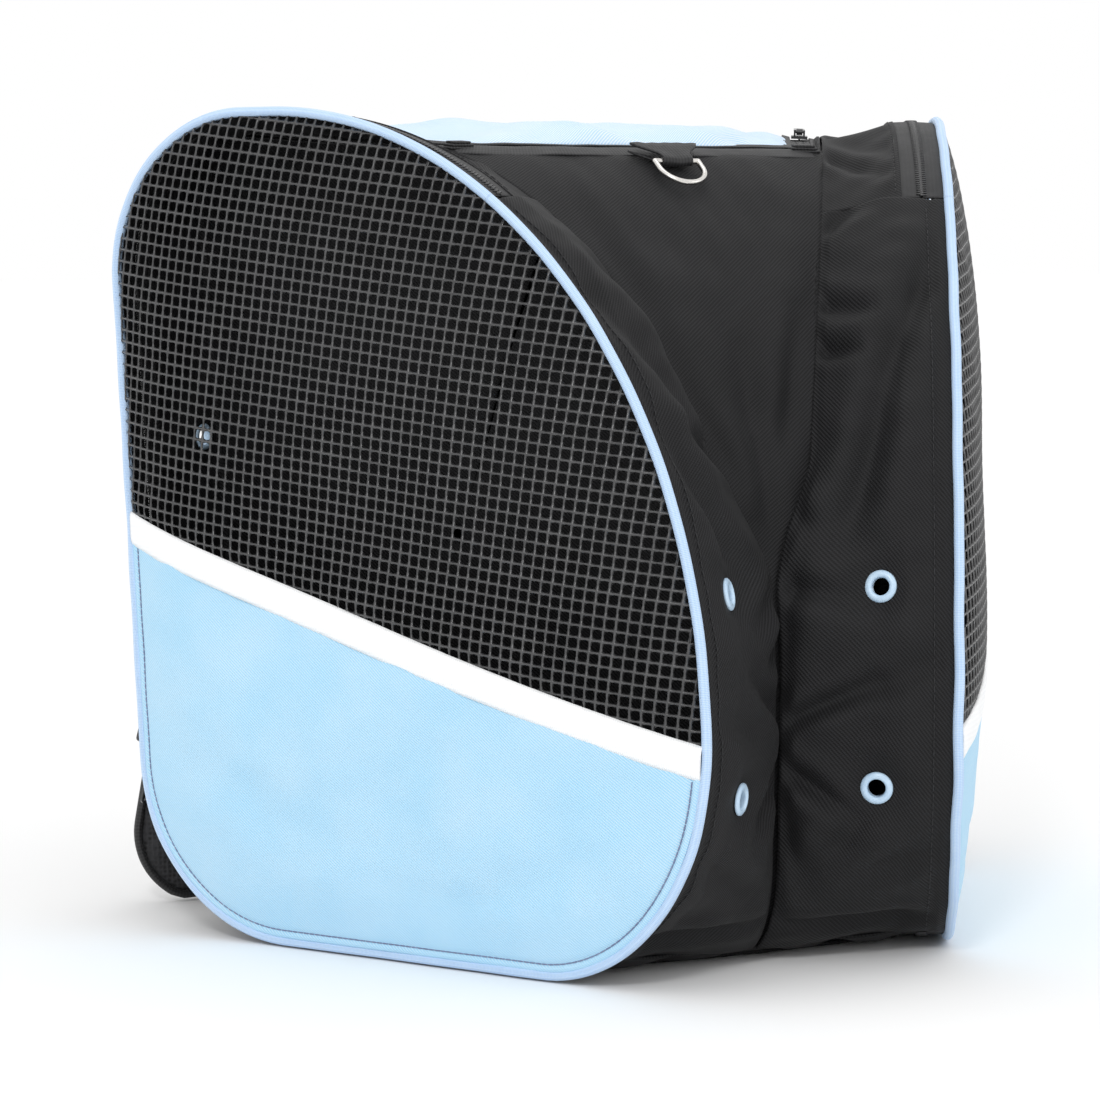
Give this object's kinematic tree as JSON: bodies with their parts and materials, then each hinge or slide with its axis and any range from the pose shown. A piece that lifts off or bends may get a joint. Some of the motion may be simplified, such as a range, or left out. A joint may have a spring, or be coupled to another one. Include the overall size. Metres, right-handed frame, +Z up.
{
  "type": "skate bag",
  "caption": "Soft triangular skate backpack: two splayed skate compartments with zipped mesh-and-fabric side doors, a domed zipped lid between them, back pad and shoulder straps.",
  "frame": {"origin": "middle of the base on the ground, under the centre of the whole bag", "axes": "+X across the bag to its right compartment seen from the front, toes of both compartments point to -Y, the back pad faces +Y, +Z up"},
  "size_m": [0.4918, 0.3845, 0.4185],
  "materials": {
    "black_fabric": "diagonal weave of coated polyester",
    "blue_fabric": "woven polyester",
    "mesh": "vinyl-coated open mesh",
    "white_tape": "grosgrain tape",
    "piping": "satin-covered cord",
    "zip_tape": "woven zip tape with nylon coil",
    "slider_metal": "black enamel",
    "eyelet_blue": "pale blue enamel",
    "nickel": "polished nickel",
    "webbing": "ribbed webbing",
    "padding": "air mesh over foam",
    "board": "stiffener board",
    "buckle": "moulded acetal"
  },
  "bodies": {
    "bag": {"base_panel": "black_fabric", "base_board": "board", "front_panel": "black_fabric", "back_panel": "black_fabric", "back_board": "board", "back_pad": "padding", "left_divider": "black_fabric", "left_toe_gusset": "black_fabric", "left_zip_gusset": "black_fabric", "left_zip_tape": "zip_tape", "left_toe_mesh": "mesh", "left_toe_stripe": "white_tape", "left_toe_lower": "blue_fabric", "left_toe_piping": "piping", "left_eyelets": "eyelet_blue", "right_divider": "black_fabric", "right_toe_gusset": "black_fabric", "right_zip_gusset": "black_fabric", "right_zip_tape": "zip_tape", "right_toe_mesh": "mesh", "right_toe_stripe": "white_tape", "right_toe_lower": "blue_fabric", "right_toe_piping": "piping", "right_eyelets": "eyelet_blue", "rim_tape": "zip_tape", "d_ring_tab": "webbing"},
    "left_door": {"left_door_mesh": "mesh", "left_door_stripe": "white_tape", "left_door_lower": "blue_fabric", "left_door_piping": "piping", "left_door_tape": "zip_tape"},
    "left_upper_slider": {"left_upper_slider": "slider_metal"},
    "left_lower_slider": {"left_lower_slider": "slider_metal"},
    "left_upper_pull": {"left_upper_pull": "slider_metal"},
    "left_lower_pull": {"left_lower_pull": "slider_metal"},
    "right_door": {"right_door_mesh": "mesh", "right_door_stripe": "white_tape", "right_door_lower": "blue_fabric", "right_door_piping": "piping", "right_door_tape": "zip_tape"},
    "right_upper_slider": {"right_upper_slider": "slider_metal"},
    "right_lower_slider": {"right_lower_slider": "slider_metal"},
    "right_upper_pull": {"right_upper_pull": "slider_metal"},
    "right_lower_pull": {"right_lower_pull": "slider_metal"},
    "lid": {"lid_panel": "blue_fabric", "lid_tape": "zip_tape"},
    "left_lid_slider": {"left_lid_slider": "slider_metal"},
    "right_lid_slider": {"right_lid_slider": "slider_metal"},
    "left_lid_pull": {"left_lid_pull": "slider_metal"},
    "right_lid_pull": {"right_lid_pull": "slider_metal"},
    "d_ring": {"d_ring": "nickel"},
    "grab_handle": {"grab_handle": "webbing"},
    "left_strap": {"left_strap_pad": "padding", "left_ladder_lock": "buckle", "left_strap_webbing": "webbing"},
    "right_strap": {"right_strap_pad": "padding", "right_ladder_lock": "buckle", "right_strap_webbing": "webbing"}
  },
  "joints": [
    {"name": "left_door_hinge", "type": "hinge", "parent": "bag", "child": "left_door", "pos_m": [-0.12323, -0.11691, 0.19158], "axis": [-0.0835, 0.1446, 0.986], "range_deg": [0, 110]},
    {"name": "left_upper_slider_travel", "type": "slide", "parent": "bag", "child": "left_upper_slider", "axis": [-0.0308, 0.0533, 0.9981], "range_m": [0, 0.205]},
    {"name": "left_upper_pull_hinge", "type": "hinge", "parent": "left_upper_slider", "child": "left_upper_pull", "pos_m": [-0.22774, 0.11131, 0.11909], "axis": [0.866, 0.5, 0], "range_deg": [0, 120]},
    {"name": "left_lower_slider_travel", "type": "hinge", "parent": "bag", "child": "left_lower_slider", "pos_m": [-0.1793, 0.0274, 0.093], "axis": [-0.866, -0.5, 0], "range_deg": [0, 65]},
    {"name": "left_lower_pull_hinge", "type": "hinge", "parent": "left_lower_slider", "child": "left_lower_pull", "pos_m": [-0.22676, 0.10961, 0.08715], "axis": [0.866, 0.5, 0], "range_deg": [0, 90]},
    {"name": "right_door_hinge", "type": "hinge", "parent": "bag", "child": "right_door", "pos_m": [0.12323, -0.11691, 0.19158], "axis": [-0.0835, -0.1446, -0.986], "range_deg": [0, 110]},
    {"name": "right_upper_slider_travel", "type": "slide", "parent": "bag", "child": "right_upper_slider", "axis": [0.0308, 0.0533, 0.9981], "range_m": [0, 0.205]},
    {"name": "right_upper_pull_hinge", "type": "hinge", "parent": "right_upper_slider", "child": "right_upper_pull", "pos_m": [0.22774, 0.11131, 0.11909], "axis": [0.866, -0.5, 0], "range_deg": [0, 120]},
    {"name": "right_lower_slider_travel", "type": "hinge", "parent": "bag", "child": "right_lower_slider", "pos_m": [0.1793, 0.0274, 0.093], "axis": [-0.866, 0.5, 0], "range_deg": [0, 65]},
    {"name": "right_lower_pull_hinge", "type": "hinge", "parent": "right_lower_slider", "child": "right_lower_pull", "pos_m": [0.22676, 0.10961, 0.08715], "axis": [0.866, -0.5, 0], "range_deg": [0, 90]},
    {"name": "lid_hinge", "type": "hinge", "parent": "bag", "child": "lid", "pos_m": [0, 0.12646, 0.408], "axis": [-1, 0, 0], "range_deg": [0, 95]},
    {"name": "left_lid_slider_travel", "type": "slide", "parent": "bag", "child": "left_lid_slider", "axis": [0.5024, -0.8617, -0.0709], "range_m": [0, 0.08]},
    {"name": "left_lid_pull_hinge", "type": "hinge", "parent": "left_lid_slider", "child": "left_lid_pull", "pos_m": [-0.1605, 0.11209, 0.41193], "axis": [0.8646, 0.5007, 0.0412], "range_deg": [0, 150]},
    {"name": "right_lid_slider_travel", "type": "slide", "parent": "bag", "child": "right_lid_slider", "axis": [-0.5024, -0.8617, -0.0709], "range_m": [0, 0.08]},
    {"name": "right_lid_pull_hinge", "type": "hinge", "parent": "right_lid_slider", "child": "right_lid_pull", "pos_m": [0.1605, 0.11209, 0.41193], "axis": [0.8646, -0.5007, -0.0412], "range_deg": [0, 150]},
    {"name": "d_ring_hinge", "type": "hinge", "parent": "bag", "child": "d_ring", "pos_m": [0.009, -0.01901, 0.39261], "axis": [-1, 0, 0], "range_deg": [0, 120]},
    {"name": "grab_handle_hinge", "type": "hinge", "parent": "bag", "child": "grab_handle", "pos_m": [0, 0.14585, 0.414], "axis": [1, 0, 0], "range_deg": [0, 60]},
    {"name": "left_strap_swing", "type": "hinge", "parent": "bag", "child": "left_strap", "pos_m": [-0.034, 0.14605, 0.374], "axis": [-0.2941, 0.0037, -0.9558], "range_deg": [0, 35]},
    {"name": "right_strap_swing", "type": "hinge", "parent": "bag", "child": "right_strap", "pos_m": [0.034, 0.14605, 0.374], "axis": [-0.2941, -0.0037, 0.9558], "range_deg": [0, 35]}
  ]
}
